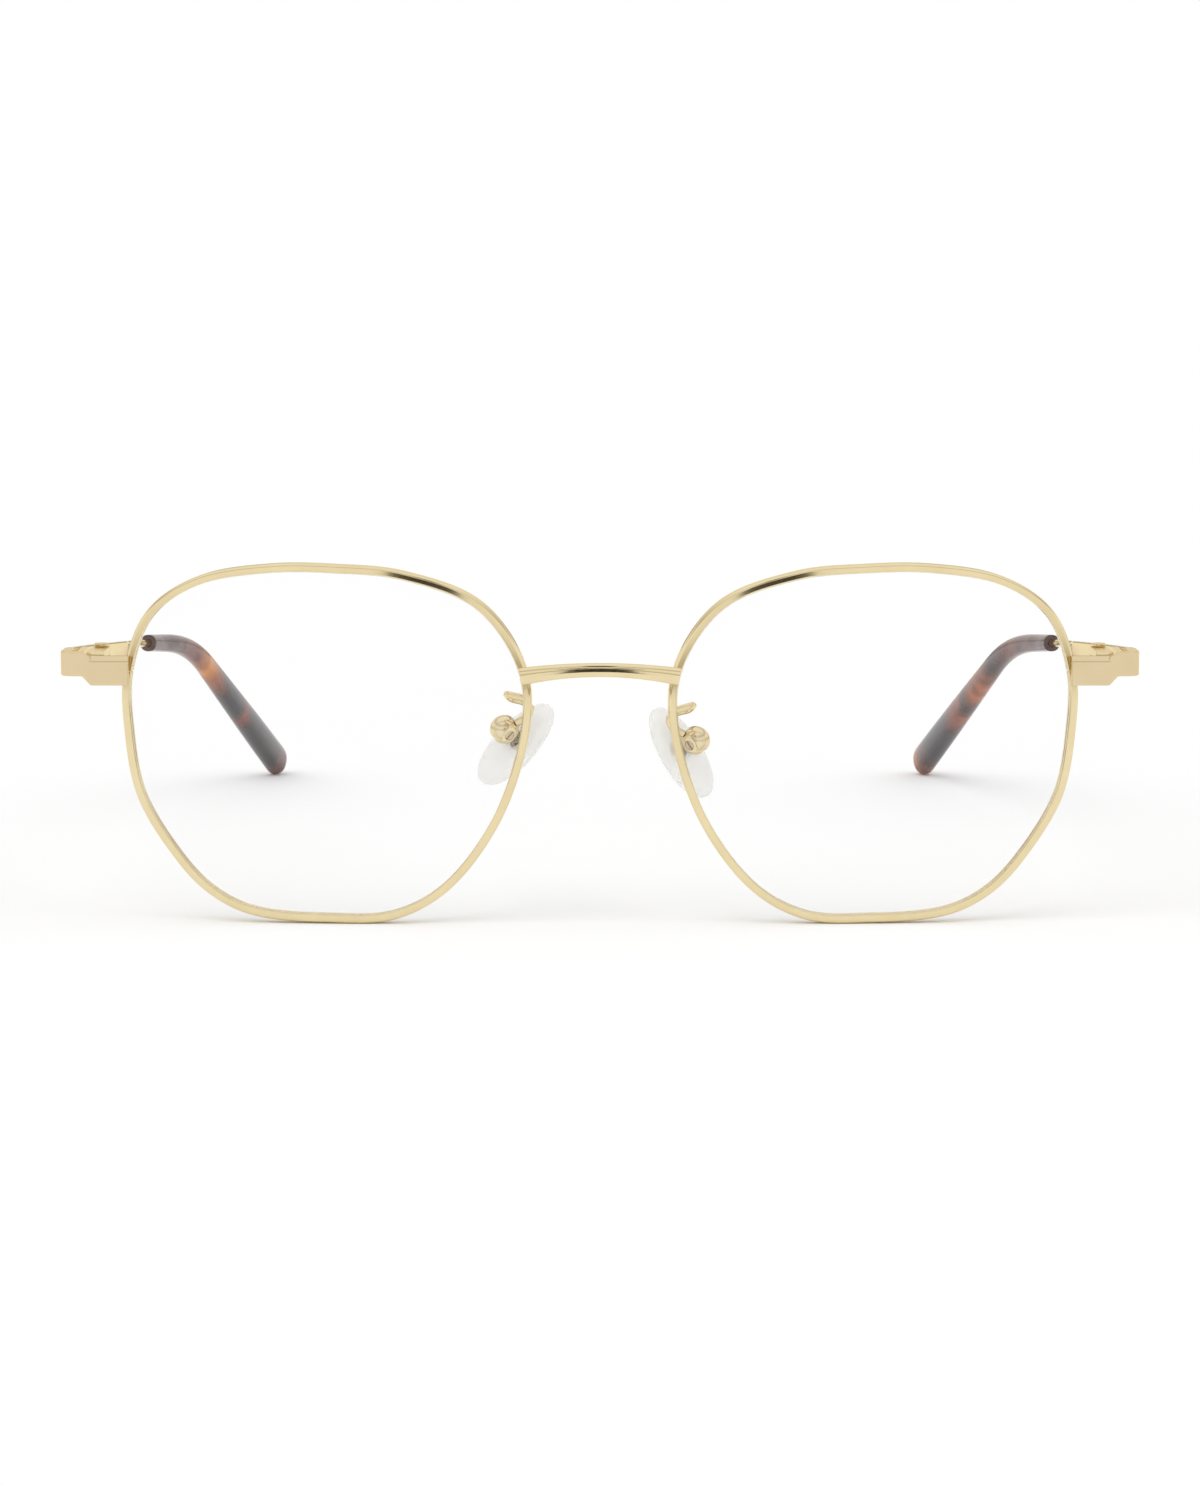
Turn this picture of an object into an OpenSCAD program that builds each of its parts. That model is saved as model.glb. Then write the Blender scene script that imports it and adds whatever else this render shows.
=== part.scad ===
/* [Lenses] */
// Width of the opening for one lens
lens_w = 51.1; // [42:0.1:58]
// Height of the opening for one lens
lens_h = 44.8; // [36:0.1:52]
// Gap between the two lens openings over the nose
nose_gap = 20.2; // [16:0.1:26]
// Thickness of a lens
lens_t = 1.8; // [1.4:0.1:2.4]
// Radius of the front curve of a lens
lens_curve_r = 130; // [90:5:260]
// Angle by which the outer side of each lens is turned back
wrap_a = 3; // [0:0.5:6]
// Height of the bevel round the edge of a lens
bevel_h = 0.35; // [0.25:0.01:0.45]
// Half the width of the bevel at its foot
bevel_half = 0.45; // [0.35:0.01:0.6]
// Clearance between the edge of a lens and its rim
lens_clearance = 0.05; // [0.03:0.01:0.08]

/* [Rims] */
// Width of the rim wire as seen from the front
rim_w = 1.1; // [0.9:0.05:1.8]
// Depth of the rim wire from front to back
rim_d = 1.9; // [1.6:0.05:2.8]
// Rounding of the outer edges of the rim wire
rim_edge = 0.4; // [0.2:0.02:0.45]
// Width of the cut through the rim at its closing blocks
split_gap = 0.15; // [0.1:0.01:0.3]
// Gap left at soldered faces
seat_gap = 0.04; // [0.02:0.01:0.08]

/* [Bridge] */
// Height of the bridge's middle above the lens centres
bridge_rise = 9.8; // [6:0.1:14]
// Height by which the bridge's ends lie below its middle
bridge_arch = 0.9; // [0.4:0.1:2.5]
// Height of the bridge wire at its middle
bridge_h = 1.8; // [1.4:0.05:2.6]
// Height of the bridge wire at its ends
bridge_end_h = 2.3; // [1.6:0.05:3]
// Depth of the bridge wire from front to back
bridge_t = 1.3; // [1:0.05:2]
// Length by which each end of the bridge passes the nasal edge of the opening
bridge_lap = 0; // [0:0.05:0.6]

/* [Closing blocks] */
// Height of each closing block
lock_h = 1.6; // [1.6:0.1:2.6]
// Width of the closing blocks away from the rim
lock_w = 1.8; // [1.6:0.05:2.1]
// Depth of the closing blocks from front to back
lock_d = 2.5; // [2.1:0.1:3.2]
// Diameter of the closing screw
lock_screw_d = 1; // [0.8:0.05:1.1]
// Diameter of the closing screw's head
lock_head_d = 1.4; // [1.3:0.05:1.6]
// Depth of the closing screw's head
lock_head_t = 0.6; // [0.4:0.05:0.8]

/* [End pieces] */
// Width of the whole front over its end pieces
front_w = 139.9; // [134:0.1:148]
// Height of the lower edge of the front plate above the lens centres
plate_low = 7.5; // [6:0.1:8.5]
// Height of the upper edge of the front plate above the lens centres
plate_high = 11.3; // [9.8:0.1:11.5]
// Height of the bevel along the upper front edge of the end piece's plate
plate_bevel_h = 0.65; // [0.3:0.05:0.8]
// Depth of that bevel
plate_bevel_d = 0.5; // [0.3:0.05:0.6]
// Thickness of the plate
plate_t = 1.3; // [1:0.05:1.6]
// Length by which the plate covers the rim
plate_lap = 0.8; // [0.3:0.05:1.1]
// Radius of the corner where the end piece turns back
corner_r = 1.8; // [1:0.1:2.4]
// Depth from the face of the plate to the open temple
end_piece_d = 5.4; // [4.4:0.1:7]

/* [Hinges] */
// Distance from the middle of the temple strip in to the hinge pin
hinge_in = 3.9; // [3.8:0.05:4.25]
// Distance from the end of the temple strip back to the hinge pin
hinge_back = 2.4; // [1.8:0.05:3.2]
// Height of the hinge's stack of knuckles
hinge_h = 3; // [2.4:0.1:3.6]
// Diameter of the hinge's knuckles
knuckle_d = 2.2; // [2:0.05:2.3]
// Gap between two knuckles
knuckle_gap = 0.05; // [0.03:0.01:0.1]
// Diameter of the hinge screw
hinge_screw_d = 1.2; // [1:0.05:1.4]
// Diameter of the hinge screw's head
hinge_head_d = 1.9; // [1.7:0.05:2.1]
// Height of the hinge screw's head
hinge_head_t = 0.4; // [0.3:0.05:0.6]
// Radial clearance of every screw in its bore
bore_clearance = 0.03; // [0.02:0.01:0.05]
// Thickness of the hinge leaf on the temple
leaf_t = 0.9; // [0.7:0.05:1.05]
// Length of the hinge leaf behind the pin
leaf_l = 4.6; // [3:0.1:8]
// Width of the driver slots in the screw heads
slot_w = 0.25; // [0.15:0.01:0.35]
// Depth of the driver slots in the screw heads
slot_d = 0.2; // [0.1:0.01:0.25]

/* [Temples] */
// Height of the temple strip at the hinge
strip_h = 3.2; // [2.6:0.1:4]
// Thickness of the temple strip
strip_t = 1.3; // [1:0.05:1.6]
// Height of the strip's middle above the lens centres
strip_rise = 10.3; // [9.6:0.1:11.2]
// Height of the temple strip at its far end
strip_end_h = 2.9; // [2:0.1:3.6]
// Length of the temple strip
strip_l = 52; // [40:0.5:58]
// Length of the taper from strip to rod
taper_l = 6; // [3:0.5:7]
// Distance from the hinge end to the strip's slight bend
strip_bend_l = 14; // [14:0.5:30]
// Diameter of the rod
rod_d = 1.15; // [1:0.05:1.5]
// Length from the hinge end of the temple to the mouth of its tip
rod_l = 75; // [66:0.5:84]
// Slope of the strip in front of its bend
strip_slope_a = 4.7; // [0:0.1:6]
// Slope of the strip and the rod behind the bend
rod_slope_a = 5.1; // [4.5:0.1:7]
// Angle by which the rod runs inward
rod_toe_a = 0.9; // [0:0.1:4]

/* [Tips] */
// Length of the tip in front of the ear bend
ear_l = 18; // [14:0.5:26]
// Slope of the tip in front of the ear bend
ear_slope_a = 6; // [4:0.1:8]
// Angle by which the tip runs inward in front of the ear bend
ear_toe_a = 16; // [6:0.5:18]
// Slope of the tip behind the ear bend
hook_slope_a = 28; // [24:0.5:34]
// Angle by which the tip runs inward behind the ear bend
hook_toe_a = 12; // [6:0.5:16]
// Diameter of the tip at its mouth
mouth_d = 2.5; // [2.2:0.05:3]
// Height of the tip's broad end
paddle_h = 5; // [3.2:0.1:6]
// Thickness of the tip's broad end
paddle_t = 3.6; // [2.4:0.1:4.4]
// Length by which the core wire stops short of the tip's end
core_short = 9; // [6:0.5:16]
// Radial clearance of the core wire in the tip
core_clearance = 0.05; // [0.03:0.01:0.08]

/* [Nose pads] */
// Length of a nose pad
pad_l = 13.5; // [11:0.1:15]
// Width of a nose pad
pad_w = 7.5; // [6:0.1:8.5]
// Thickness of a nose pad
pad_t = 2.3; // [2:0.05:2.8]
// Distance from the nose's middle plane to the centre of a pad box
pad_x = 12.5; // [11.5:0.1:13.5]
// Depth of a pad box behind the lens front
pad_back = 8; // [7.2:0.1:10]
// Height of the right pad box above the lens centres
right_pad_rise = 1.15; // [0:0.05:2.5]
// Height of the left pad box above the lens centres
left_pad_rise = -0.3; // [-1.5:0.05:1.5]
// Tilt of the right pad toward the nose's middle plane
right_pad_tilt_a = 43; // [25:1:50]
// Tilt of the left pad toward the nose's middle plane
left_pad_tilt_a = 32; // [25:1:50]
// Angle by which the face of each pad is turned toward the nose
pad_splay_a = 52; // [40:1:60]
// Diameter of the arm wire
arm_d = 0.95; // [0.8:0.05:1.1]
// Diameter of the round pad box
box_d = 3.8; // [3.5:0.1:4.2]
// Diameter of the pad screw
pad_screw_d = 0.8; // [0.7:0.05:0.9]
// Thickness of the lug on the pad's plate
lug_t = 1.1; // [0.9:0.05:1.3]
// Distance from the pad screw to the middle of the pad
pad_reach = 3.25; // [3.1:0.05:3.8]
// Length by which the pad's middle lies below the pad screw
pad_hang = 0.6; // [0:0.1:1.2]
// Diameter of the plate that is held in the pad
pad_plate_d = 2.6; // [2.2:0.1:3]
// Thickness of the plate that is held in the pad
pad_plate_t = 0.5; // [0.4:0.05:0.6]

/* [Hidden] */
$fn = 48;
gold = [0.886, 0.808, 0.627];
steel = [0.78, 0.76, 0.7];
clear = [0.93, 0.96, 0.97, 0.35];
tortoise = [0.36, 0.2, 0.13];
silicone = [0.93, 0.92, 0.88];
right = -1;
left = 1;

// The opening's outline as shares of half its width and half its height, from the outer side
// over the top to the nose and back along the bottom. It starts at the cut through the rim.
outline_shares = [[0.99, 0.41], [0.88, 0.73], [0.63, 0.92], [0.28, 0.99], [-0.06, 0.99],
    [-0.4, 0.95], [-0.76, 0.79], [-0.97, 0.45], [-0.99, 0.08], [-0.86, -0.4], [-0.62, -0.79],
    [-0.34, -0.98], [0, -1], [0.35, -0.97], [0.58, -0.85], [0.76, -0.63], [0.93, -0.3],
    [0.99, 0.08]];
outline_steps = 5;

// Length by which a cutting shape passes the face that it cuts
cut = 1;
// Bevel of the rim's inner edges
rim_chamfer = 0.15;
// Share of an edge's rounding by which its middle point lies inside the corner
corner_share = 0.3;
// Where the rings across a lens lie, as shares of the way from its centre to its edge
lens_spans = [0.15, 0.45, 0.75];

// Rounding of the corners of the temple's route, and the steps and sides of its skin
rod_round = 10;
toe_round = 8;
ear_round = 9;
bend_steps = 8;
strip_sides = 12;
strip_square = 0.35;
strip_step = 3;
tip_steps = 24;
core_steps = 16;
end_steps = 5;
// Angle of the tip's round end at which its skin closes
end_a = 88;
// Squareness of the tip's section
tip_square = 0.9;
// How the tip swells along its length: the share at its mouth and the share gained
swell_start = 0.05;
swell_gain = 0.9;
// Gap between the end of the core wire and the end of its bore
core_end_gap = 0.2;

// The arm wire's way from the rim to the box, as places seen from the centre of the box:
// across toward the temple, back, and up. It starts at arm_up above the centre of the box.
arm_up = 4.4;
// Straight lengths of the arm wire where it leaves the rim and where it meets the box
arm_foot = 0.6;
// Room for the tilt of the rim's back face at the foot of the arm wire
arm_room = 0.12;
arm_end = 1;
arm_route = [[-0.9, -3.5, 4.9], [-0.4, -2, 4.8], [-1, -1.3, 4.2], [-2.4, -1.2, 3.8],
    [-3.4, -1, 3], [-3.1, -0.7, 1.9]];
arm_enter = [-0.83, -0.3, 0.5];

function mix(a, b, t) = a + (b - a) * t;
function unit(v) = v / norm(v);
function clamp(t) = max(0, min(1, t));
function smooth(t) = clamp(t) * clamp(t) * (3 - 2 * clamp(t));

// A point between b and c on a curve through a, b, c and d
function spline_point(a, b, c, d, t) =
    (2 * b + (c - a) * t + (2 * a - 5 * b + 4 * c - d) * t * t
        + (3 * b - 3 * c + d - a) * t * t * t) / 2;

function closed_spline(p, steps) = let (n = len(p))
    [for (i = [0:n - 1], k = [0:steps - 1])
        spline_point(p[(i + n - 1) % n], p[i], p[(i + 1) % n], p[(i + 2) % n], k / steps)];

function open_spline(p, steps) = let (n = len(p))
    concat([for (i = [0:n - 2], k = [0:steps - 1])
        spline_point(p[max(i - 1, 0)], p[i], p[i + 1], p[min(i + 2, n - 1)], k / steps)],
        [p[n - 1]]);

// A line with each inner corner rounded over its own length r[i - 1]
function rounded(p, r, steps) = concat([p[0]],
    [for (i = [1:len(p) - 2], k = [0:steps])
        let (a = p[i] + unit(p[i - 1] - p[i]) * r[i - 1],
            b = p[i] + unit(p[i + 1] - p[i]) * r[i - 1], t = k / steps)
        mix(mix(a, p[i], t), mix(p[i], b, t), t)],
    [p[len(p) - 1]]);

function lengths(p, i = 1, s = 0) = i == len(p) ? [s]
    : concat([s], lengths(p, i + 1, s + norm(p[i] - p[i - 1])));

function along(p, marks, s) =
    let (k = max([for (i = [0:len(p) - 2]) if (i == 0 || marks[i] <= s) i]))
    mix(p[k], p[k + 1], (s - marks[k]) / (marks[k + 1] - marks[k]));

function directions(p) = let (n = len(p))
    [for (i = [0:n - 1]) unit(p[min(i + 1, n - 1)] - p[max(i - 1, 0)])];

// Carries a side direction along a path without twisting it
function carried(dirs, side, i = 0) = i == len(dirs) ? []
    : let (v = unit(side - (side * dirs[i]) * dirs[i])) concat([v], carried(dirs, v, i + 1));

function signed_power(v, e) = sign(v) * pow(abs(v), e);

// One ring of a swept wire: square is 1 for an ellipse and less for a flatter strip
function ring(centre, dir, side, w, h, square, sides) = let (up = cross(side, dir))
    [for (k = [0:sides - 1]) let (a = 360 * (k + 0.5) / sides)
        centre + side * signed_power(cos(a), square) * w / 2
            + up * signed_power(sin(a), square) * h / 2];

function wire_rings(path, side, ws, hs, squares, sides) =
    let (dirs = directions(path), across = carried(dirs, side))
    [for (i = [0:len(path) - 1])
        ring(path[i], dirs[i], across[i], ws[i], hs[i], squares[i], sides)];

function same(value, list) = [for (v = list) value];

// A direction toward the back that runs inward by toe and down by slope
function heading(toe, slope) = [-sin(toe) * cos(slope), cos(toe) * cos(slope), -sin(slope)];

// Skins a row of rings and closes each end with a fan to a point
module skin(rings, first, last) {
    n = len(rings[0]);
    m = len(rings);
    points = concat([first], [for (r = rings, p = r) p], [last]);
    faces = concat(
        [for (j = [0:n - 1]) [0, 1 + j, 1 + (j + 1) % n]],
        [for (i = [0:m - 2], j = [0:n - 1], half = [0:1])
            let (a = 1 + i * n + j, b = 1 + i * n + (j + 1) % n)
            half == 0 ? [a, a + n, b + n] : [a, b + n, b]],
        [for (j = [0:n - 1]) [m * n + 1, 1 + (m - 1) * n + (j + 1) % n, 1 + (m - 1) * n + j]]);
    polyhedron(points, faces, convexity = 8);
}

// Main places. Depth is measured back from the foremost point of the lenses.
lens_x = nose_gap / 2 + lens_w / 2;
outline = closed_spline([for (p = outline_shares) [p.x * lens_w / 2, p.y * lens_h / 2]],
    outline_steps);
outline_n = len(outline);
lens_z = rim_w - min([for (p = outline) p.y]);
tangents = [for (i = [0:outline_n - 1])
    unit(outline[(i + 1) % outline_n] - outline[(i + outline_n - 1) % outline_n])];
normals = [for (t = tangents) [t.y, -t.x]];

// A place on the left lens, d behind its front surface, with depth in the second number
function on_lens(p, d) =
    let (s = lens_curve_r - sqrt(lens_curve_r * lens_curve_r - p * p) + d)
    [lens_x + p.x * cos(wrap_a) - s * sin(wrap_a), p.x * sin(wrap_a) + s * cos(wrap_a),
        lens_z + p.y];

function nearest(list, best, i = 0) = i == len(list) ? best
    : nearest(list, list[i] < list[best] ? i : best, i + 1);

// The station on the nasal side of the outline at a height above the lens centre
function nasal_station(h) =
    nearest([for (p = outline) abs(p.y - h) + (p.x > 0 ? lens_w : 0)], 0);

// Bridge
bridge_z = lens_z + bridge_rise;
bridge_station = nasal_station(bridge_rise - bridge_arch);
bridge_back = on_lens(outline[bridge_station], lens_t / 2 - rim_d / 2).y - seat_gap;
bridge_d = bridge_back - bridge_t / 2;
bridge_half = on_lens(outline[bridge_station], 0).x + bridge_lap;
bridge_steps = 18;
bridge_sides = 16;
bridge_square = 0.85;
bridge_bow = 0.2;

// Closing blocks
lock_reach = 1.2;
split_z = lens_z + outline[0].y;
split_out = on_lens(outline[0] + [rim_w, 0], lens_t / 2);
// The blocks stand clear of the rim's widest place within their height
beside_locks = [for (i = [0:outline_n - 1])
    if (outline[i].x > 0 && abs(outline[i].y - outline[0].y) < lock_h + split_gap + lock_reach)
        on_lens(outline[i] + normals[i] * rim_w, lens_t / 2).x];
lock_x = max(beside_locks) + seat_gap;
rim_front = on_lens(outline[0] + [rim_w / 2, 0], lens_t / 2 - rim_d / 2).y;
plate_back = rim_front - 2 * seat_gap;
plate_front = plate_back - plate_t;
lock_front = plate_back + seat_gap;
lock_screw_x = lock_x + lock_w / 2;
lock_screw_depth = lock_front + lock_d / 2;

// End pieces
out_x = front_w / 2;
plate_x = split_out.x - plate_lap;
butt_d = plate_front + end_piece_d;
strip_z = lens_z + strip_rise;
plate_low_z = lens_z + plate_low;
plate_high_z = lens_z + plate_high;
// The step from the plate to the higher corner, seen from the front
corner_w = 2.9;
step_x = out_x - corner_w;
step_w = 1.1;
step_lean = 0.3;
corner_steps = 8;
inner_r_least = 0.2;

// Hinges
strip_x = out_x - strip_t / 2;
hinge_x = strip_x - hinge_in;
hinge_d = butt_d + seat_gap + hinge_back;
knuckle_h = (hinge_h - 2 * knuckle_gap) / 3;
hinge_low = strip_z - hinge_h / 2;
hinge_root_t = 1.5;
leaf_x = strip_x - strip_t / 2 - seat_gap;
leaf_h = 2.0;

// Temple route: its straight lines meet at the strip's bend, the mouth of the tip and the ear.
// The rod is centred on it, and the strip hangs from the rod's upper edge. The strip's end is
// square to its slope, so its lower edge comes closest to the end piece.
butt = [strip_x, butt_d + seat_gap + strip_h / 2 * sin(strip_slope_a),
    strip_z + (strip_h - rod_d) / 2];
strip_bend = butt + heading(0, strip_slope_a) * strip_bend_l;
mouth = strip_bend + heading(rod_toe_a, rod_slope_a) * (rod_l - strip_bend_l);
ear = mouth + heading(ear_toe_a, ear_slope_a) * ear_l;
end_r = paddle_h / 2;
hook_l = (ear.z - end_r) / sin(hook_slope_a) + end_r;
tip_end = ear + heading(hook_toe_a, hook_slope_a) * hook_l;
route = rounded([butt, strip_bend, mouth, ear, tip_end], [rod_round, toe_round, ear_round],
    bend_steps);
marks = lengths(route);
route_l = marks[len(marks) - 1];
core_l = route_l - rod_l - core_short;
core_marks = [for (k = [0:core_steps]) rod_l + core_l * k / core_steps];
strip_n = ceil(strip_l / strip_step);
taper_n = 4;
rod_n = 3;
rod_marks = concat([for (k = [0:strip_n - 1]) strip_l * k / strip_n],
    [for (k = [0:taper_n]) strip_l + taper_l * k / taper_n],
    [for (k = [1:rod_n - 1]) mix(strip_l + taper_l, rod_l, k / rod_n)]);
tip_straight = route_l - end_r;
tip_marks = concat([for (k = [0:tip_steps - 1]) mix(rod_l, tip_straight, k / (tip_steps - 1))],
    [for (k = [1:end_steps]) tip_straight + end_r * sin(end_a * k / end_steps)]);

function taper(s) = smooth((s - strip_l) / taper_l);
function arm_h(s) = mix(mix(strip_h, strip_end_h, clamp(s / strip_l)), rod_d, taper(s));
function tip_share(s) =
    smooth((s - rod_l) / (tip_straight - rod_l) * swell_gain + swell_start);
function tip_round(s) = s <= tip_straight ? 1
    : sqrt(1 - pow((s - tip_straight) / end_r, 2));

// The part stands with its lowest points at height 0 and the middle of its depth at 0
back_d = along(route, marks, tip_straight).y + end_r;
front_y = -(back_d + bridge_d - bridge_t / 2 - bridge_bow) / 2;

// Nose pads
box_r = box_d / 2;
box_flat_share = 0.82;
box_flat = box_r * box_flat_share;
box_open = 1.25;
slot_half = lug_t / 2 + knuckle_gap;
lug_r = 0.85;
lug_room = 0.15;
slot_root = lug_r + lug_room;
pad_screw_head_d = 1.3;
pad_screw_head_t = 0.4;
neck_d = 1.4;
neck_start = box_open + 0.35;
pocket_room = 0.85;
plate_y = pad_reach - pad_plate_t / 2;
pad_sides = 24;
// How the pad narrows toward its top, and how little its length follows its rounded section
pad_taper = 0.06;
pad_end_share = 0.3;
pad_profile = [[-0.5, 0.42], [-0.42, 0.8], [-0.2, 0.97], [0, 1], [0.22, 0.96], [0.4, 0.78],
    [0.5, 0.45]];
arm_sides = 8;
arm_steps = 4;

module on_side(side) {
    mirror([side == right ? 1 : 0, 0, 0]) translate([0, front_y, 0]) children();
}

module rim(side) {
    groove = bevel_h + lens_clearance;
    groove_half = bevel_half + lens_clearance;
    deep = rim_d / 2;
    nick = rim_edge * corner_share;
    section = [[0, -groove_half], [0, rim_chamfer - deep], [rim_chamfer, -deep],
        [rim_w - rim_edge, -deep], [rim_w - nick, nick - deep],
        [rim_w, rim_edge - deep], [rim_w, deep - rim_edge],
        [rim_w - nick, deep - nick], [rim_w - rim_edge, deep],
        [rim_chamfer, deep], [0, deep - rim_chamfer], [0, groove_half], [groove, 0]];
    shift = tangents[0] * split_gap / 2;
    centres = concat([outline[0] + shift], [for (i = [1:outline_n - 1]) outline[i]],
        [outline[0] - shift]);
    outs = concat(normals, [normals[0]]);
    rings = [for (i = [0:outline_n])
        [for (q = section) on_lens(centres[i] + outs[i] * q.x, lens_t / 2 + q.y)]];
    heart = (groove + rim_w) / 2;
    color(gold) on_side(side)
        skin(rings, on_lens(centres[0] + outs[0] * heart, lens_t / 2),
            on_lens(centres[outline_n] + outs[outline_n] * heart, lens_t / 2));
}

module lens(side) {
    edge = [for (i = [0:outline_n - 1]) outline[i] - normals[i] * lens_clearance];
    tip = [for (i = [0:outline_n - 1]) edge[i] + normals[i] * bevel_h];
    half = lens_t / 2;
    front = [for (k = lens_spans) [for (p = edge) on_lens(p * k, 0)]];
    rear = [for (k = [len(lens_spans) - 1:-1:0])
        [for (p = edge) on_lens(p * lens_spans[k], lens_t)]];
    side_rings = [for (d = [0, half - bevel_half]) [for (p = edge) on_lens(p, d)]];
    bevel = [[for (p = tip) on_lens(p, half)]];
    back_rings = [for (d = [half + bevel_half, lens_t]) [for (p = edge) on_lens(p, d)]];
    color(clear) on_side(side)
        skin(concat(front, side_rings, bevel, back_rings, rear),
            on_lens([0, 0], 0), on_lens([0, 0], lens_t));
}

module bridge() {
    places = [for (k = [0:bridge_steps]) 2 * k / bridge_steps - 1];
    path = [for (t = places)
        [t * bridge_half, bridge_d - bridge_bow * (1 - t * t), bridge_z - bridge_arch * t * t]];
    heights = [for (t = places) mix(bridge_h, bridge_end_h, t * t)];
    rings = wire_rings(path, [0, 1, 0], same(bridge_t, path), heights,
        same(bridge_square, path), bridge_sides);
    color(gold) translate([0, front_y, 0]) skin(rings, path[0], path[bridge_steps]);
}

// The lower block takes the screw's head, and the upper block takes its thread
module lock(side, upper) {
    low = upper ? split_z + split_gap / 2 : split_z - split_gap / 2 - lock_h;
    color(gold) on_side(side) difference() {
        translate([lock_x, lock_front, low]) cube([lock_w, lock_d, lock_h]);
        translate([lock_screw_x, lock_screw_depth, low - cut])
            cylinder(d = lock_screw_d + 2 * bore_clearance, h = lock_h + 2 * cut);
        if (!upper) translate([lock_screw_x, lock_screw_depth, low - cut])
            cylinder(d = lock_head_d + 2 * bore_clearance, h = lock_head_t + cut);
    }
}

module lock_screw(side) {
    low = split_z - split_gap / 2 - lock_h;
    color(steel) on_side(side) translate([lock_screw_x, lock_screw_depth, low])
        difference() {
            union() {
                cylinder(d = lock_head_d, h = lock_head_t - bore_clearance);
                cylinder(d = lock_screw_d, h = 2 * lock_h + split_gap);
            }
            driver_slot(lock_head_d);
        }
}

// A slot across a screw head whose face lies at height 0 and looks down
module driver_slot(head_d) {
    translate([-head_d, -slot_w / 2, -cut]) cube([2 * head_d, slot_w, cut + slot_d]);
}

// Seen from above: a plate that turns back at its outer end
module end_piece_plan() {
    turn = [for (k = [0:corner_steps]) let (a = 90 * k / corner_steps)
        [out_x - corner_r + corner_r * sin(a), plate_front + corner_r - corner_r * cos(a)]];
    inner_r = max(corner_r - plate_t, inner_r_least);
    inner = [for (k = [corner_steps:-1:0]) let (a = 90 * k / corner_steps)
        [out_x - strip_t - inner_r + inner_r * sin(a),
            plate_back + inner_r - inner_r * cos(a)]];
    polygon(concat([[plate_x, plate_back], [plate_x, plate_front]], turn,
        [[out_x, butt_d], [out_x - strip_t, butt_d]], inner));
}

// Seen from the front: a low plate by the rim and a higher corner in line with the temple
module end_piece_front() {
    low = strip_z - strip_h / 2;
    high = strip_z + strip_h / 2;
    polygon([[plate_x, plate_low_z], [step_x - step_w, plate_low_z], [step_x, low],
        [out_x + cut, low], [out_x + cut, high], [step_x + step_lean, high],
        [step_x - step_w, plate_high_z], [plate_x, plate_high_z]]);
}

// What a file takes off the plate's upper front edge
module plate_bevel() {
    foot = [plate_front, plate_high_z - plate_bevel_h];
    step = [plate_bevel_d, plate_bevel_h];
    translate([plate_x - cut, 0, 0]) rotate([90, 0, 90])
        linear_extrude(height = step_x - step_w - plate_x + cut)
            polygon([foot - step, foot + 2 * step, foot + [-step.x, 2 * step.y]]);
}

module end_piece(side) {
    color(gold) on_side(side) difference() {
        intersection() {
            linear_extrude(height = strip_z + strip_h) end_piece_plan();
            translate([0, butt_d + cut, 0]) rotate([90, 0, 0])
                linear_extrude(height = butt_d - plate_front + 2 * cut) end_piece_front();
        }
        plate_bevel();
    }
}

module knuckle(low, height) {
    translate([hinge_x, hinge_d, low]) cylinder(d = knuckle_d, h = height);
}

module pin_bore() {
    translate([hinge_x, hinge_d, hinge_low - cut])
        cylinder(d = hinge_screw_d + 2 * bore_clearance, h = hinge_h + 2 * cut);
}

// Two knuckles on a block that is soldered to the back of the end piece
module front_hinge(side) {
    back = plate_back + seat_gap;
    color(gold) on_side(side) difference() {
        union() {
            for (low = [hinge_low, hinge_low + 2 * (knuckle_h + knuckle_gap)]) {
                knuckle(low, knuckle_h);
                translate([hinge_x - knuckle_d / 2, back, low])
                    cube([knuckle_d, hinge_d - back, knuckle_h]);
            }
            translate([hinge_x - knuckle_d / 2, back, hinge_low])
                cube([knuckle_d, hinge_root_t, hinge_h]);
        }
        pin_bore();
    }
}

// The middle knuckle, on a leaf that is soldered to the inner face of the temple strip
module temple_hinge(side) {
    low = hinge_low + knuckle_h + knuckle_gap;
    color(gold) on_side(side) difference() {
        union() {
            knuckle(low, knuckle_h);
            translate([hinge_x, hinge_d - knuckle_d / 2, low])
                cube([leaf_x - hinge_x, knuckle_d, knuckle_h]);
            translate([leaf_x - leaf_t, hinge_d - knuckle_d / 2, strip_z - leaf_h / 2])
                cube([leaf_t, knuckle_d / 2 + leaf_l, leaf_h]);
        }
        pin_bore();
    }
}

module hinge_screw(side) {
    color(steel) on_side(side)
        translate([hinge_x, hinge_d, hinge_low + hinge_h + seat_gap + hinge_head_t])
        mirror([0, 0, 1]) difference() {
            union() {
                cylinder(d = hinge_head_d, h = hinge_head_t);
                cylinder(d = hinge_screw_d, h = hinge_head_t + seat_gap + hinge_h);
            }
            driver_slot(hinge_head_d);
        }
}

// A flat strip that tapers to a rod and runs on as the core wire of the tip
module temple_arm(side) {
    marked = concat(rod_marks, core_marks);
    path = [for (s = marked) along(route, marks, s) - [0, 0, (arm_h(s) - rod_d) / 2]];
    rings = wire_rings(path, [1, 0, 0],
        [for (s = marked) mix(strip_t, rod_d, taper(s))],
        [for (s = marked) arm_h(s)],
        [for (s = marked) mix(strip_square, 1, taper(s))], strip_sides);
    color(gold) on_side(side) skin(rings, path[0], path[len(path) - 1]);
}

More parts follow.
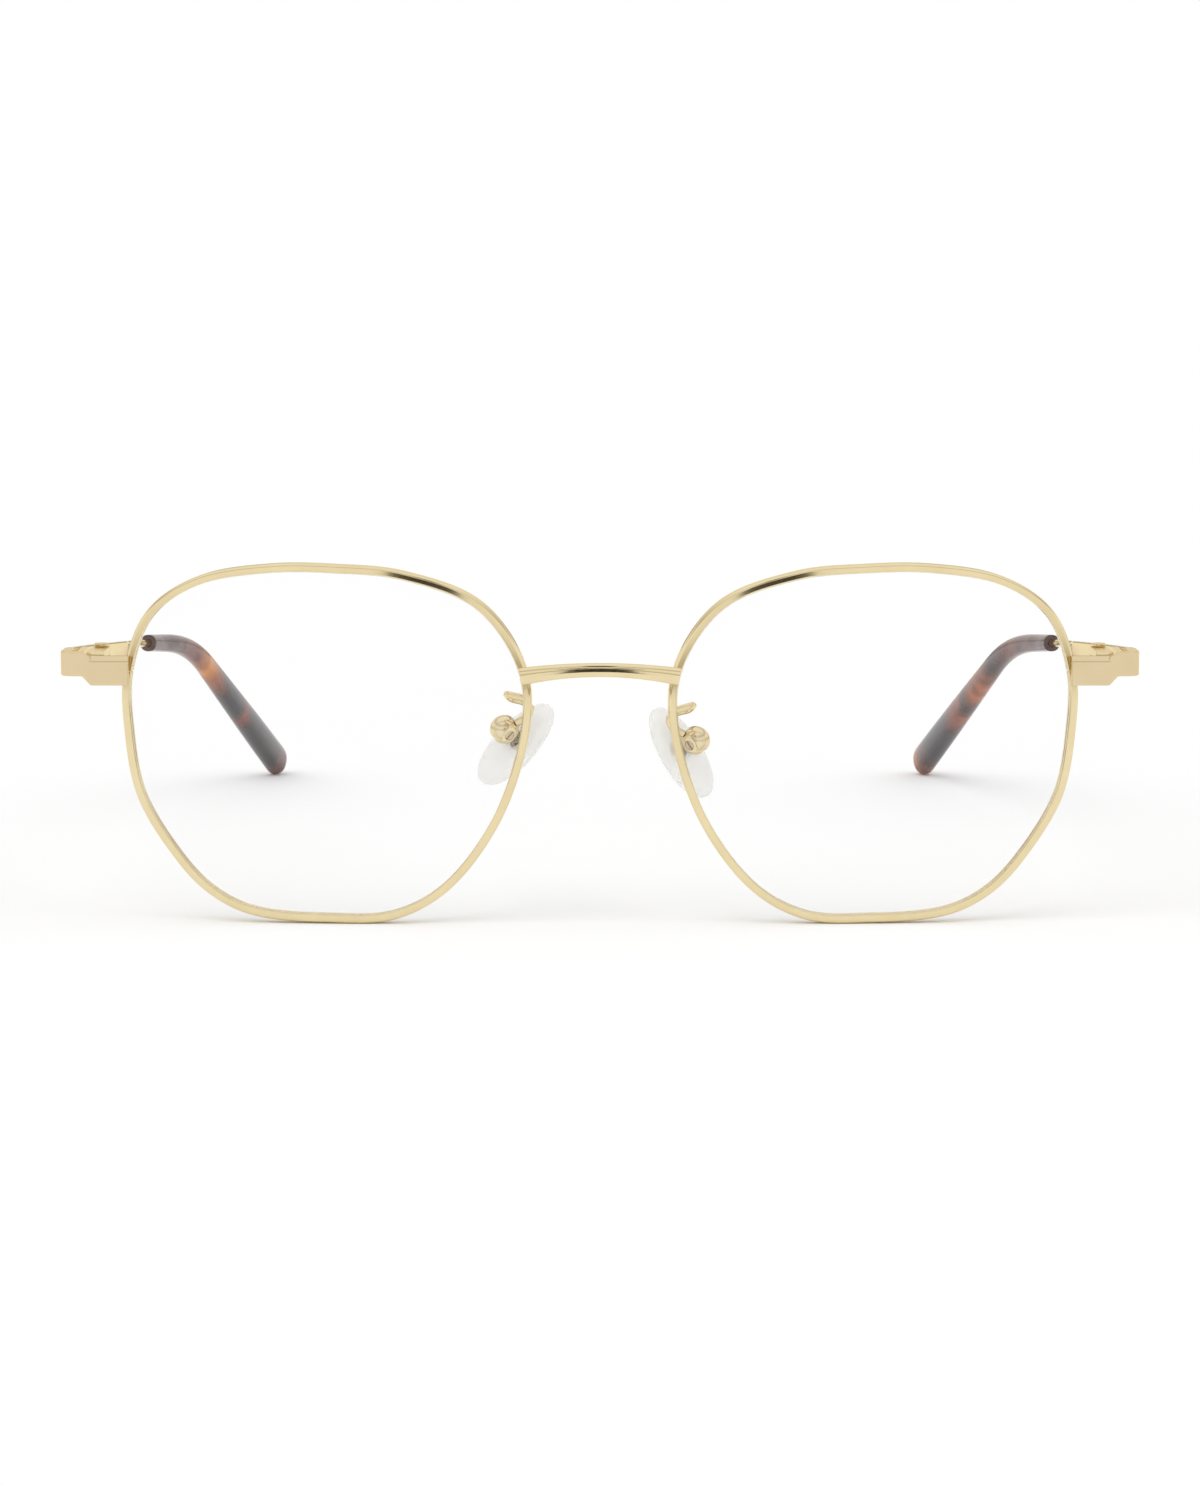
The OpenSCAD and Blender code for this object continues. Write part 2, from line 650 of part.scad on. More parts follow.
// A tip with a blind bore for the core wire, skinned from the bore's end out and back
module temple_tip(side) {
    bore_path = [for (s = concat(rod_marks, core_marks)) along(route, marks, s)];
    bore_d = rod_d + 2 * core_clearance;
    all_bore = wire_rings(bore_path, [1, 0, 0], same(bore_d, bore_path), same(bore_d, bore_path),
        same(1, bore_path), strip_sides);
    last = len(bore_path) - 1;
    inner = [for (k = [last:-1:len(rod_marks)]) all_bore[k]];
    marked = concat(rod_marks, tip_marks);
    path = [for (s = marked) along(route, marks, s)];
    outer = wire_rings(path, [1, 0, 0],
        [for (s = marked) mix(mouth_d, paddle_t, tip_share(s)) * tip_round(s)],
        [for (s = marked) mix(mouth_d, paddle_h, tip_share(s)) * tip_round(s)],
        same(tip_square, marked), strip_sides);
    bore_end = along(route, marks, rod_l + core_l + core_end_gap);
    shown = [for (k = [len(rod_marks):len(path) - 1]) outer[k]];
    color(tortoise) on_side(side) skin(concat(inner, shown), bore_end, tip_end);
}

function pad_rise(side) = side == right ? right_pad_rise : left_pad_rise;
function pad_tilt(side) = side == right ? right_pad_tilt_a : left_pad_tilt_a;
function box_centre(side) = [pad_x, pad_back, lens_z + pad_rise(side)];

// Puts a part at its pad box: across is the screw's direction, back is toward the pad's face
// and up is along the pad
module at_box(side) {
    on_side(side) translate(box_centre(side)) rotate([0, -pad_tilt(side), 0])
        rotate([0, 0, pad_splay_a]) children();
}

module pad_arm(side) {
    centre = box_centre(side);
    station = nasal_station(pad_rise(side) + arm_up);
    rim_place = on_lens(outline[station] + normals[station] * rim_w / 2, lens_t / 2 + rim_d / 2);
    start = rim_place + [0, seat_gap + arm_room, 0];
    end = centre + unit(arm_enter) * (box_r + 2 * seat_gap);
    path = concat([start], open_spline(concat([start + [0, arm_foot, 0]],
        [for (p = arm_route) centre + p],
        [centre + unit(arm_enter) * (box_r + arm_end), end]), arm_steps));
    rings = wire_rings(path, [1, 0, 0], same(arm_d, path), same(arm_d, path), same(1, path),
        arm_sides);
    color(gold) on_side(side) skin(rings, path[0], path[len(path) - 1]);
}

// A round box with flat cheeks, open toward the pad
module pad_box(side) {
    color(gold) at_box(side) difference() {
        intersection() {
            sphere(d = box_d);
            translate([-box_flat, -box_r, -box_r])
                cube([2 * box_flat, box_r + box_open, box_d]);
        }
        translate([-slot_half, -slot_root, -box_d]) cube([2 * slot_half, box_d, 2 * box_d]);
        translate([-box_d, 0, 0]) rotate([0, 90, 0])
            cylinder(d = pad_screw_d + 2 * bore_clearance, h = 2 * box_d);
        translate([-box_flat - cut, 0, 0]) rotate([0, 90, 0])
            cylinder(d = pad_screw_head_d + 2 * bore_clearance, h = pad_screw_head_t + cut);
    }
}

module pad_screw(side) {
    color(steel) at_box(side) translate([-box_flat, 0, 0]) rotate([0, 90, 0])
        difference() {
            union() {
                cylinder(d = pad_screw_head_d, h = pad_screw_head_t - bore_clearance);
                cylinder(d = pad_screw_d, h = 2 * box_flat);
            }
            driver_slot(pad_screw_head_d);
        }
}

// A lug on the screw and a round plate inside the pad, joined by a neck
module pad_plate(side) {
    color(steel) at_box(side) difference() {
        union() {
            translate([-lug_t / 2, 0, 0]) rotate([0, 90, 0]) cylinder(r = lug_r, h = lug_t);
            translate([-lug_t / 2, 0, -lug_r]) cube([lug_t, plate_y, 2 * lug_r]);
            translate([0, neck_start, 0]) rotate([-90, 0, 0])
                cylinder(d = neck_d, h = plate_y - neck_start);
            translate([0, plate_y, 0]) rotate([-90, 0, 0])
                cylinder(d = pad_plate_d, h = pad_plate_t);
        }
        translate([-lug_t, 0, 0]) rotate([0, 90, 0])
            cylinder(d = pad_screw_d + 2 * bore_clearance, h = 2 * lug_t);
    }
}

// A soft pad with a pocket for its plate
module nose_pad(side) {
    rings = [for (q = pad_profile)
        [for (k = [0:pad_sides - 1]) let (a = 360 * k / pad_sides)
            [pad_w / 2 * cos(a) * q.y * (1 - pad_taper * sin(a)), pad_reach + pad_t * q.x,
                pad_l / 2 * sin(a) * mix(q.y, 1, pad_end_share) - pad_hang]]];
    color(silicone) at_box(side) difference() {
        skin(rings, [0, pad_reach - pad_t / 2, -pad_hang], [0, pad_reach + pad_t / 2, -pad_hang]);
        translate([0, plate_y - seat_gap, 0]) rotate([-90, 0, 0])
            cylinder(d = pad_plate_d + 2 * seat_gap, h = pad_plate_t + 2 * seat_gap);
        rotate([-90, 0, 0]) cylinder(d = neck_d + 2 * pocket_room, h = plate_y);
    }
}

bridge();
rim(right);  // right_rim
rim(left);  // left_rim
lens(right);  // right_lens
lens(left);  // left_lens
lock(right, true);  // right_upper_lock
lock(left, true);  // left_upper_lock
lock(right, false);  // right_lower_lock
lock(left, false);  // left_lower_lock
lock_screw(right);  // right_lock_screw
lock_screw(left);  // left_lock_screw
end_piece(right);  // right_end_piece
end_piece(left);  // left_end_piece
front_hinge(right);  // right_front_hinge
front_hinge(left);  // left_front_hinge
temple_hinge(right);  // right_temple_hinge
temple_hinge(left);  // left_temple_hinge
hinge_screw(right);  // right_hinge_screw
hinge_screw(left);  // left_hinge_screw
temple_arm(right);  // right_temple_arm
temple_arm(left);  // left_temple_arm
temple_tip(right);  // right_temple_tip
temple_tip(left);  // left_temple_tip
pad_arm(right);  // right_pad_arm
pad_arm(left);  // left_pad_arm
pad_box(right);  // right_pad_box
pad_box(left);  // left_pad_box
pad_screw(right);  // right_pad_screw
pad_screw(left);  // left_pad_screw
pad_plate(right);  // right_pad_plate
pad_plate(left);  // left_pad_plate
nose_pad(right);  // right_nose_pad
nose_pad(left);  // left_nose_pad
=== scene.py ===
import math

import bmesh
import bpy
from mathutils import Matrix, Vector


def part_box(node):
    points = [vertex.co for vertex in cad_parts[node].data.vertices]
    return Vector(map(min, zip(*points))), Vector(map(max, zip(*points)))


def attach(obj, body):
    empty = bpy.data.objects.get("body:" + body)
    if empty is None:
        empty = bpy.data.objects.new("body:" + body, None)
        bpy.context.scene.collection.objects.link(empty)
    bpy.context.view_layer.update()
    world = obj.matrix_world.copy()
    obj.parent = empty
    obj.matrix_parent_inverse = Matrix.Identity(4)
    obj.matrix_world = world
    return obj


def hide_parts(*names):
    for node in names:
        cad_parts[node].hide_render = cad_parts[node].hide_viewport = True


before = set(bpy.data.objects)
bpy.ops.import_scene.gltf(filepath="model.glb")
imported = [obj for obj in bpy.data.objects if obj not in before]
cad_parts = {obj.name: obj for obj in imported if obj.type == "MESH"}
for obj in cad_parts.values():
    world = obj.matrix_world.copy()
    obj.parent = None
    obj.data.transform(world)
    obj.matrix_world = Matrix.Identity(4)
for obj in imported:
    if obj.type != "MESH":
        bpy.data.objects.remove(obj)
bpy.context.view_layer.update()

# Lengths are in millimetres here and become metres in new_mesh
MM = 0.001
SIDES = {"right": -1, "left": 1}
ACROSS = Vector((1, 0, 0))
# Room between pieces that rest on one another
SEAT_GAP = 0.04
# Points that lie nearer than this after a cut or a rounding become one
SAME_POINT = 0.0005

# Lenses and rims
LENS_W = 51.1
LENS_H = 44.8
NOSE_GAP = 20.2
LENS_T = 1.8
LENS_CURVE_R = 130.0
WRAP = math.radians(3)
BEVEL_H = 0.35
BEVEL_HALF = 0.45
LENS_CLEARANCE = 0.05
RIM_W = 1.1
RIM_D = 1.9
RIM_EDGE = 0.4
RIM_CHAMFER = 0.15
# Points this far from a rounding hold the flat beside it, so that it shades as a flat
RIM_HOLD = 0.03
# Gap where the rim wire is cut, between the closing blocks
SPLIT_GAP = 0.15
# The lens opening at +X seen from the front, in shares of half its width and height
OUTLINE_SHARES = [(0.99, 0.41), (0.88, 0.73), (0.63, 0.92), (0.28, 0.99), (-0.06, 0.99),
                  (-0.4, 0.95), (-0.76, 0.79), (-0.97, 0.45), (-0.99, 0.08), (-0.86, -0.4),
                  (-0.62, -0.79), (-0.34, -0.98), (0, -1), (0.35, -0.97), (0.58, -0.85),
                  (0.76, -0.63), (0.93, -0.3), (0.99, 0.08)]

# Bridge
BRIDGE_RISE = 9.8
BRIDGE_ARCH = 0.9
BRIDGE_H = 1.8
BRIDGE_END_H = 2.3
BRIDGE_T = 1.3
BRIDGE_BOW = 0.2
BRIDGE_POWER = 0.85

# Temples and tips
FRONT_W = 139.9
PLATE_T = 1.3
END_PIECE_D = 5.4
STRIP_H = 3.2
STRIP_T = 1.3
STRIP_RISE = 10.3
STRIP_END_H = 2.9
STRIP_L = 52.0
STRIP_BEND_L = 14.0
STRIP_SLOPE = math.radians(4.7)
STRIP_POWER = 0.35
TAPER_L = 6.0
ROD_D = 1.15
ROD_L = 75.0
ROD_SLOPE = math.radians(5.1)
ROD_TOE = math.radians(0.9)
EAR_L = 18.0
EAR_SLOPE = math.radians(6)
EAR_TOE = math.radians(16)
HOOK_SLOPE = math.radians(28)
HOOK_TOE = math.radians(12)
# How far before and after each corner of a temple's route its bend reaches
BEND_REACH = [10, 8, 9]
MOUTH_D = 2.5
PADDLE_H = 5.0
PADDLE_T = 3.6
END_R = PADDLE_H / 2
TIP_POWER = 0.9
# Share of the change from mouth to paddle that is made at the mouth, and along the tip
TIP_FIRST = 0.05
TIP_REST = 0.9
# The tip's mouth has a small rounded lip
LIP = 0.35
LIP_SHARE = 0.1
DOME_END_A = 88
CORE_SHORT = 9.0
CORE_CLEARANCE = 0.05
CORE_END_GAP = 0.2

# Nose pads
PAD_L = 13.5
PAD_W = 7.5
PAD_T = 2.3
PAD_X = 12.5
PAD_BACK = 8.0
PAD_RISE = {"right": 1.15, "left": -0.3}
PAD_TILT = {"right": math.radians(43), "left": math.radians(32)}
PAD_SPLAY = math.radians(52)
PAD_REACH = 3.25
PAD_HANG = 0.6
PAD_TAPER = 0.06
PAD_END_SHARE = 0.3
# Depth through a pad, and the share of its full size there
PAD_PROFILE = [(-0.5, 0.42), (-0.42, 0.8), (-0.2, 0.97), (0, 1), (0.22, 0.96), (0.4, 0.78),
               (0.5, 0.45)]
PAD_PLATE_D = 2.6
PAD_PLATE_T = 0.5
NECK_D = 1.4
POCKET_ROOM = 0.85

# Pad arms, with their route from the rim given from the middle of the pad box
ARM_D = 0.95
ARM_UP = 4.4
ARM_FOOT = 0.6
ARM_ROOM = 0.12
ARM_END = 1.0
ARM_ROUTE = [(-0.9, -3.5, 4.9), (-0.4, -2, 4.8), (-1, -1.3, 4.2), (-2.4, -1.2, 3.8),
             (-3.4, -1, 3), (-3.1, -0.7, 1.9)]
ARM_ENTER = Vector((-0.83, -0.3, 0.5)).normalized()

# Pad boxes, with the slot for the plate's lug and the bore for the screw
BOX_R = 1.9
BOX_FLAT_SHARE = 0.82
BOX_OPEN = 1.25
BOX_SOFT = 0.12
BOX_SOFT_SHARE = 0.3
LUG_T = 1.1
LUG_R = 0.85
LUG_ROOM = 0.15
KNUCKLE_GAP = 0.05
PAD_SCREW_D = 0.8
PAD_SCREW_HEAD_D = 1.3
PAD_SCREW_HEAD_T = 0.4
BORE_CLEARANCE = 0.03

# Steps along and round each form
OUTLINE_STEPS = 16
SOLID_OUTLINE_STEPS = 5
CHAMFER_STEPS = 5
EDGE_STEPS = 8
LENS_RINGS = 14
BRIDGE_STEPS = 72
BRIDGE_SIDES = 48
BEND_STEPS = 20
STRIP_STEPS = 52
TAPER_STEPS = 14
ROD_STEPS = 16
CORE_STEPS = 48
LEAD_STEPS = 60
BORE_STEPS = 40
LIP_STEPS = 5
TIP_STEPS = 80
DOME_STEPS = 12
TEMPLE_SIDES = 40
ARM_STEPS = 12
ARM_SIDES = 24
PROFILE_STEPS = 5
PAD_SIDES = 72
DISC_SIDES = 48
BOX_STEPS = 32
BOX_SIDES = 64

# Angle in degrees above which an edge shades sharp
WIRE_SHARP = 40
LENS_SHARP = 25
ROUND_SHARP = 50
PAD_SHARP = 40
BOX_SHARP = 35


# Curves
def mix(a, b, t):
    return a + (b - a) * t


def clamp(t):
    return max(0.0, min(1.0, t))


def smooth(t):
    t = clamp(t)
    return t * t * (3 - 2 * t)


def spread(low, high, steps):
    return [mix(low, high, k / steps) for k in range(steps + 1)]


def angles(sides):
    return [2 * math.pi * k / sides for k in range(sides)]


def arc(cx, cy, r, start, end, steps):
    return [(cx + r * math.cos(math.radians(a)), cy + r * math.sin(math.radians(a)))
            for a in spread(start, end, steps)]


def spline_point(a, b, c, d, t):
    return (2 * b + (c - a) * t + (2 * a - 5 * b + 4 * c - d) * t * t
            + (3 * b - 3 * c + d - a) * t * t * t) / 2


def closed_spline(points, steps):
    n = len(points)
    return [spline_point(points[i - 1], points[i], points[(i + 1) % n], points[(i + 2) % n],
                         k / steps) for i in range(n) for k in range(steps)]


def open_spline(points, steps):
    n = len(points)
    curve = [spline_point(points[max(i - 1, 0)], points[i], points[i + 1],
                          points[min(i + 2, n - 1)], k / steps)
             for i in range(n - 1) for k in range(steps)]
    return curve + [points[-1]]


# A line whose inner corners become bends
def bent(points, reaches, steps):
    line = [points[0]]
    for before, p, after, reach in zip(points, points[1:], points[2:], reaches):
        a = p + (before - p).normalized() * reach
        b = p + (after - p).normalized() * reach
        line += [mix(mix(a, p, t), mix(p, b, t), t) for t in spread(0, 1, steps)]
    return line + [points[-1]]


def lengths(line):
    marks = [0.0]
    for a, b in zip(line, line[1:]):
        marks.append(marks[-1] + (b - a).length)
    return marks


def along(line, marks, s):
    k = 0
    while k < len(line) - 2 and marks[k + 1] <= s:
        k += 1
    return mix(line[k], line[k + 1], (s - marks[k]) / (marks[k + 1] - marks[k]))


def signed_power(v, e):
    return math.copysign(abs(v) ** e, v)


# Rings along a path, each turned as little as can be. A lower power makes a squarer ring.
def wire_rings(path, across, widths, heights, powers, sides):
    rings = []
    last = len(path) - 1
    for i, centre in enumerate(path):
        ahead = (path[min(i + 1, last)] - path[max(i - 1, 0)]).normalized()
        across = (across - ahead * across.dot(ahead)).normalized()
        up = across.cross(ahead)
        ring = []
        for k in range(sides):
            a = 2 * math.pi * (k + 0.5) / sides
            ring.append(centre + across * signed_power(math.cos(a), powers[i]) * widths[i] / 2
                        + up * signed_power(math.sin(a), powers[i]) * heights[i] / 2)
        rings.append(ring)
    return rings


def heading(toe, slope):
    return Vector((-math.sin(toe) * math.cos(slope), math.cos(toe) * math.cos(slope),
                   -math.sin(slope)))


# Meshes
def skin(rings, first, last):
    n = len(rings[0])
    m = len(rings)
    points = [first] + [p for ring in rings for p in ring] + [last]
    faces = [(0, 1 + j, 1 + (j + 1) % n) for j in range(n)]
    for i in range(m - 1):
        for j in range(n):
            a = 1 + i * n + j
            b = 1 + i * n + (j + 1) % n
            faces.append((a, a + n, b + n, b))
    end = m * n + 1
    faces += [(end, 1 + (m - 1) * n + (j + 1) % n, 1 + (m - 1) * n + j) for j in range(n)]
    return points, faces


def new_mesh(name, mirror, shape):
    points, faces = shape
    mesh = bpy.data.meshes.new(name)
    places = [Vector((mirror * p.x, p.y + FRONT_Y, p.z)) * MM for p in points]
    mesh.from_pydata(places, [], faces)
    work = bmesh.new()
    work.from_mesh(mesh)
    bmesh.ops.recalc_face_normals(work, faces=work.faces)
    work.to_mesh(mesh)
    work.free()
    piece = bpy.data.objects.new(name, mesh)
    bpy.context.scene.collection.objects.link(piece)
    return piece


def shade(piece, sharp_angle):
    piece.data.shade_smooth()
    piece.data.set_sharp_from_angle(angle=math.radians(sharp_angle))
    return piece


# Points that a cut leaves nearly on one another become one
def join_close(mesh):
    work = bmesh.new()
    work.from_mesh(mesh)
    bmesh.ops.remove_doubles(work, verts=work.verts, dist=SAME_POINT)
    bmesh.ops.dissolve_degenerate(work, edges=work.edges, dist=SAME_POINT)
    work.to_mesh(mesh)
    work.free()


# The cut is made at a thousand times the size, where small features keep their exact form
def cut_out(piece, tool):
    for item in (piece, tool):
        item.data.transform(Matrix.Scale(1 / MM, 4))
    step = piece.modifiers.new("Cut", "BOOLEAN")
    step.operation = "DIFFERENCE"
    step.solver = "EXACT"
    step.object = tool
    graph = bpy.context.evaluated_depsgraph_get()
    result = bpy.data.meshes.new_from_object(piece.evaluated_get(graph))
    old = piece.data
    piece.modifiers.remove(step)
    join_close(result)
    result.transform(Matrix.Scale(MM, 4))
    piece.data = result
    bpy.data.meshes.remove(old)
    bpy.data.objects.remove(tool)


# A new piece gets its material and body, and takes the place of a CAD node
def settle(piece, material, body, node):
    piece.data.materials.clear()
    piece.data.materials.append(material)
    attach(piece, body)
    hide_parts(node)


# Main places, with depth measured back from the foremost point of the lenses
CORNERS = [Vector((x * LENS_W / 2, y * LENS_H / 2)) for x, y in OUTLINE_SHARES]
OUTLINE = closed_spline(CORNERS, OUTLINE_STEPS)
OUTLINE_N = len(OUTLINE)
TANGENTS = [(OUTLINE[(i + 1) % OUTLINE_N] - OUTLINE[i - 1]).normalized()
            for i in range(OUTLINE_N)]
NORMALS = [Vector((t.y, -t.x)) for t in TANGENTS]
LENS_X = NOSE_GAP / 2 + LENS_W / 2
LENS_Z = RIM_W - min(p.y for p in closed_spline(CORNERS, SOLID_OUTLINE_STEPS))


# A point of the lens plane, laid on the curved and wrapped lens at a depth below its front
def on_lens(p, d):
    s = LENS_CURVE_R - math.sqrt(LENS_CURVE_R ** 2 - p.x ** 2 - p.y ** 2) + d
    return Vector((LENS_X + p.x * math.cos(WRAP) - s * math.sin(WRAP),
                   p.x * math.sin(WRAP) + s * math.cos(WRAP), LENS_Z + p.y))


# Which point of the outline, on its nose side, is nearest to a height
def nasal_station(height):
    return min(range(OUTLINE_N), key=lambda i: abs(OUTLINE[i].y - height)
               + (LENS_W if OUTLINE[i].x > 0 else 0))


BRIDGE_FOOT = OUTLINE[nasal_station(BRIDGE_RISE - BRIDGE_ARCH)]
BRIDGE_DEPTH = on_lens(BRIDGE_FOOT, LENS_T / 2 - RIM_D / 2).y - SEAT_GAP - BRIDGE_T / 2
# Place of the lens fronts in the shared frame: the bridge's front is the foremost place
FRONT_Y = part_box("bridge")[0][1] / MM - BRIDGE_DEPTH + BRIDGE_T / 2 + BRIDGE_BOW
RIM_FRONT = on_lens(OUTLINE[0] + Vector((RIM_W / 2, 0)), LENS_T / 2 - RIM_D / 2).y
# Depth at which a temple strip meets its end piece
BUTT_D = RIM_FRONT - 2 * SEAT_GAP - PLATE_T + END_PIECE_D


# Section of the rim wire: across from the opening, and depth from its middle
def rim_section():
    deep = RIM_D / 2
    groove = BEVEL_H + LENS_CLEARANCE
    half = BEVEL_HALF + LENS_CLEARANCE
    c = RIM_CHAMFER
    r = RIM_EDGE
    front = [(c + RIM_HOLD, -deep), (RIM_W - r - RIM_HOLD, -deep)]
    outside = [(RIM_W, r - deep + RIM_HOLD), (RIM_W, deep - r - RIM_HOLD)]
    back = [(RIM_W - r - RIM_HOLD, deep), (c + RIM_HOLD, deep)]
    return ([(0, -half)] + arc(c, c - deep, c, 180, 270, CHAMFER_STEPS) + front
            + arc(RIM_W - r, r - deep, r, -90, 0, EDGE_STEPS) + outside
            + arc(RIM_W - r, deep - r, r, 0, 90, EDGE_STEPS) + back
            + arc(c, deep - c, c, 90, 180, CHAMFER_STEPS) + [(0, half), (groove, 0)])


# A rim wire runs once round its lens and is open where the closing blocks hold it
def rim_mesh(side):
    shift = TANGENTS[0] * SPLIT_GAP / 2
    centres = [OUTLINE[0] + shift] + OUTLINE[1:] + [OUTLINE[0] - shift]
    outs = NORMALS + [NORMALS[0]]
    section = rim_section()
    rings = [[on_lens(c + out * x, LENS_T / 2 + d) for x, d in section]
             for c, out in zip(centres, outs)]
    heart = (BEVEL_H + LENS_CLEARANCE + RIM_W) / 2
    ends = [on_lens(centres[k] + outs[k] * heart, LENS_T / 2) for k in (0, -1)]
    shape = skin(rings, ends[0], ends[1])
    return shade(new_mesh(f"{side}_rim_wire", SIDES[side], shape), WIRE_SHARP)


def lens_mesh(side):
    edge = [p - n * LENS_CLEARANCE for p, n in zip(OUTLINE, NORMALS)]
    tip = [p + n * BEVEL_H for p, n in zip(edge, NORMALS)]
    spans = [(k + 1) / LENS_RINGS for k in range(LENS_RINGS)]
    half = LENS_T / 2
    rings = [[on_lens(p * k, 0) for p in edge] for k in spans]
    rings.append([on_lens(p, half - BEVEL_HALF) for p in edge])
    rings.append([on_lens(p, half) for p in tip])
    rings.append([on_lens(p, half + BEVEL_HALF) for p in edge])
    rings += [[on_lens(p * k, LENS_T) for p in edge] for k in reversed(spans)]
    middle = Vector((0, 0))
    shape = skin(rings, on_lens(middle, 0), on_lens(middle, LENS_T))
    return shade(new_mesh(f"{side}_clear_lens", SIDES[side], shape), LENS_SHARP)


def bridge_mesh():
    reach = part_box("bridge")[1][0] / MM
    half = reach - math.sin(math.atan2(2 * BRIDGE_ARCH, reach)) * BRIDGE_END_H / 2
    places = spread(-1, 1, BRIDGE_STEPS)
    path = [Vector((t * half, BRIDGE_DEPTH - BRIDGE_BOW * (1 - t * t),
                    LENS_Z + BRIDGE_RISE - BRIDGE_ARCH * t * t)) for t in places]
    n = len(path)
    heights = [mix(BRIDGE_H, BRIDGE_END_H, t * t) for t in places]
    rings = wire_rings(path, Vector((0, 1, 0)), [BRIDGE_T] * n, heights, [BRIDGE_POWER] * n,
                       BRIDGE_SIDES)
    return shade(new_mesh("bridge_wire", 1, skin(rings, path[0], path[-1])), WIRE_SHARP)


# Route of a temple from the hinge end to the end of its tip
def temple_route():
    butt = Vector((FRONT_W / 2 - STRIP_T / 2,
                   BUTT_D + SEAT_GAP + STRIP_H / 2 * math.sin(STRIP_SLOPE),
                   LENS_Z + STRIP_RISE + (STRIP_H - ROD_D) / 2))
    bend = butt + heading(0, STRIP_SLOPE) * STRIP_BEND_L
    mouth = bend + heading(ROD_TOE, ROD_SLOPE) * (ROD_L - STRIP_BEND_L)
    ear = mouth + heading(EAR_TOE, EAR_SLOPE) * EAR_L
    hook_l = (ear.z - END_R) / math.sin(HOOK_SLOPE) + END_R
    end = ear + heading(HOOK_TOE, HOOK_SLOPE) * hook_l
    return bent([butt, bend, mouth, ear, end], BEND_REACH, BEND_STEPS)


ROUTE = temple_route()
MARKS = lengths(ROUTE)
ROUTE_L = MARKS[-1]
CORE_L = ROUTE_L - ROD_L - CORE_SHORT
TIP_STRAIGHT = ROUTE_L - END_R


# 0 on the strip, 1 on the rod
def taper(s):
    return smooth((s - STRIP_L) / TAPER_L)


def arm_height(s):
    return mix(mix(STRIP_H, STRIP_END_H, clamp(s / STRIP_L)), ROD_D, taper(s))


def temple_arm_mesh(side):
    marked = (spread(0, STRIP_L, STRIP_STEPS)[:-1]
              + spread(STRIP_L, STRIP_L + TAPER_L, TAPER_STEPS)[:-1]
              + spread(STRIP_L + TAPER_L, ROD_L, ROD_STEPS)[:-1]
              + spread(ROD_L, ROD_L + CORE_L, CORE_STEPS))
    path = [along(ROUTE, MARKS, s) - Vector((0, 0, (arm_height(s) - ROD_D) / 2)) for s in marked]
    widths = [mix(STRIP_T, ROD_D, taper(s)) for s in marked]
    heights = [arm_height(s) for s in marked]
    powers = [mix(STRIP_POWER, 1, taper(s)) for s in marked]
    rings = wire_rings(path, ACROSS, widths, heights, powers, TEMPLE_SIDES)
    shape = skin(rings, path[0], path[-1])
    return shade(new_mesh(f"{side}_temple_wire", SIDES[side], shape), ROUND_SHARP)


def tip_share(s):
    return smooth((s - ROD_L) / (TIP_STRAIGHT - ROD_L) * TIP_REST + TIP_FIRST)


def tip_round(s):
    if s <= TIP_STRAIGHT:
        return 1.0
    return math.sqrt(max(0.0, 1 - ((s - TIP_STRAIGHT) / END_R) ** 2))


def lip(s):
    back = clamp((ROD_L + LIP - s) / LIP)
    return 1 - LIP_SHARE + LIP_SHARE * math.sqrt(max(0.0, 1 - back ** 2))


def tip_size(paddle, s):
    return mix(MOUTH_D, paddle, tip_share(s)) * tip_round(s) * lip(s)


# Rings carried on from the hinge end, as the wire's are, so that a tip isn't twisted on it
def rings_from_mouth(marked, width_at, height_at, power):
    lead = spread(0, ROD_L, LEAD_STEPS)[:-1]
    places = lead + marked
    path = [along(ROUTE, MARKS, s) for s in places]
    rings = wire_rings(path, ACROSS, [width_at(s) for s in places],
                       [height_at(s) for s in places], [power] * len(path), TEMPLE_SIDES)
    return rings[len(lead):]


# A tip is open at its mouth, with a blind bore for the core wire
def temple_tip_mesh(side):
    bore_d = ROD_D + 2 * CORE_CLEARANCE
    bore = rings_from_mouth(spread(ROD_L, ROD_L + CORE_L, BORE_STEPS), lambda s: bore_d,
                            lambda s: bore_d, 1)
    mouth = [ROD_L + LIP * (1 - math.cos(math.radians(90 * k / LIP_STEPS)))
             for k in range(LIP_STEPS)]
    dome = [TIP_STRAIGHT + END_R * math.sin(math.radians(DOME_END_A * k / DOME_STEPS))
            for k in range(1, DOME_STEPS + 1)]
    outside = rings_from_mouth(mouth + spread(ROD_L + LIP, TIP_STRAIGHT, TIP_STEPS) + dome,
                               lambda s: tip_size(PADDLE_T, s), lambda s: tip_size(PADDLE_H, s),
                               TIP_POWER)
    bore_end = along(ROUTE, MARKS, ROD_L + CORE_L + CORE_END_GAP)
    shape = skin(list(reversed(bore)) + outside, bore_end, ROUTE[-1])
    return shade(new_mesh(f"{side}_ear_tip", SIDES[side], shape), ROUND_SHARP)


def box_centre(side):
    return Vector((PAD_X, PAD_BACK, LENS_Z + PAD_RISE[side]))


# A point given from the pad box's middle, along its screw, towards the pad and up
def at_box(side, p):
    turn = Matrix.Rotation(-PAD_TILT[side], 3, "Y") @ Matrix.Rotation(PAD_SPLAY, 3, "Z")
    return box_centre(side) + turn @ Vector(p)


